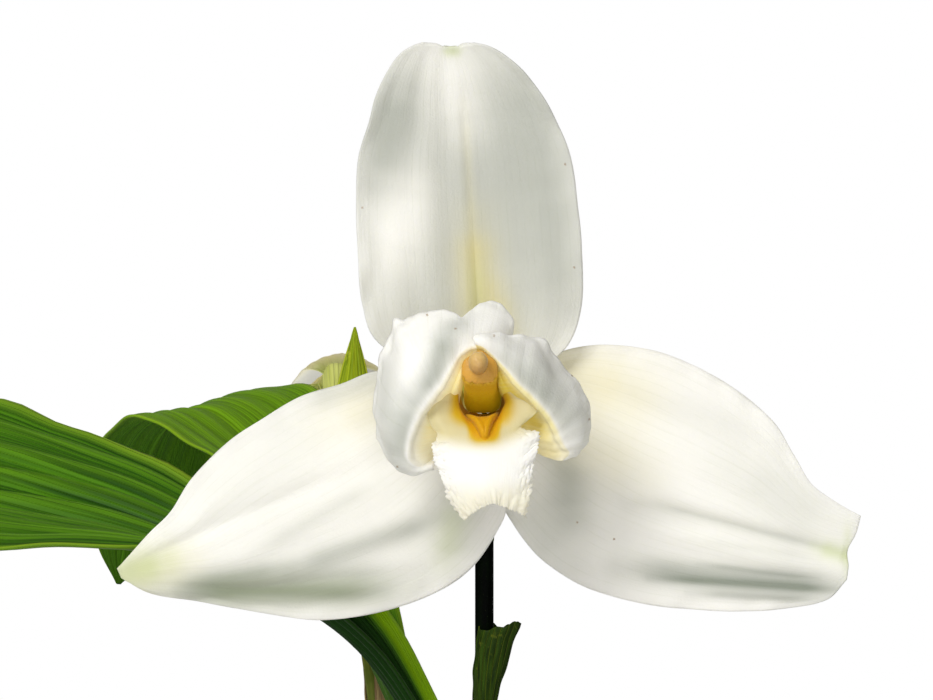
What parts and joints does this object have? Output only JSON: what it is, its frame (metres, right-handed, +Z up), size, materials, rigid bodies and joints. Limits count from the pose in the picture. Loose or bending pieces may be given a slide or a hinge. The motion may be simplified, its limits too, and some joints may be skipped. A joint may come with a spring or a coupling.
{
  "type": "potted lycaste orchid",
  "caption": "Lycaste orchid in a plain clay pot: ribbed bulbs in bark, long pleated leaves and white broad-sepalled flowers on upright stems.",
  "frame": {"origin": "middle of the flat base of the pot, on the surface it stands on", "axes": "+Z up along the pot's axis, -Y towards the front, which the open flower faces, +X to the right seen from the front"},
  "size_m": [0.4657, 0.2773, 0.3971],
  "materials": {
    "terracotta": "matte",
    "bark": "matte",
    "bulb": "satin",
    "dry_sheath": "matte",
    "root": "matte",
    "leaf": "satin",
    "stem": "satin",
    "bract": "satin",
    "flower_white": "matte",
    "lip_cream": "matte",
    "column": "satin"
  },
  "bodies": {
    "root": {"back_anther_cap": "lip_cream", "back_column": "column", "back_floral_bract": "bract", "back_lip": "lip_cream", "back_ovary": "bract", "back_petal_left": "flower_white", "back_petal_right": "flower_white", "back_scape": "stem", "back_sepal_dorsal": "flower_white", "back_sepal_left": "flower_white", "back_sepal_right": "flower_white", "back_sheath_high": "dry_sheath", "back_sheath_low": "bract", "bark_chip_1": "bark", "bark_chip_2": "bark", "bark_chip_3": "bark", "bark_chip_4": "bark", "bark_chip_5": "bark", "bark_chip_6": "bark", "bark_chip_7": "bark", "bark_chip_8": "bark", "bark_chip_9": "bark", "bulb_sheath_1": "dry_sheath", "bulb_sheath_2": "dry_sheath", "bulb_sheath_3": "dry_sheath", "bulb_sheath_4": "dry_sheath", "front_anther_cap": "lip_cream", "front_column": "column", "front_floral_bract": "bract", "front_lip": "lip_cream", "front_ovary": "bract", "front_petal_left": "flower_white", "front_petal_right": "flower_white", "front_scape": "stem", "front_sepal_dorsal": "flower_white", "front_sepal_left": "flower_white", "front_sepal_right": "flower_white", "front_sheath_high": "bract", "front_sheath_low": "bract", "leaf_1": "leaf", "leaf_2": "leaf", "leaf_3": "leaf", "leaf_4": "leaf", "leaf_5": "leaf", "pot": "terracotta", "potting_bark": "bark", "pseudobulb_1": "bulb", "pseudobulb_2": "bulb", "pseudobulb_3": "bulb", "pseudobulb_4": "bulb", "rhizome": "stem", "root_1": "root", "root_2": "root", "root_3": "root", "root_4": "root"}
  },
  "joints": []
}
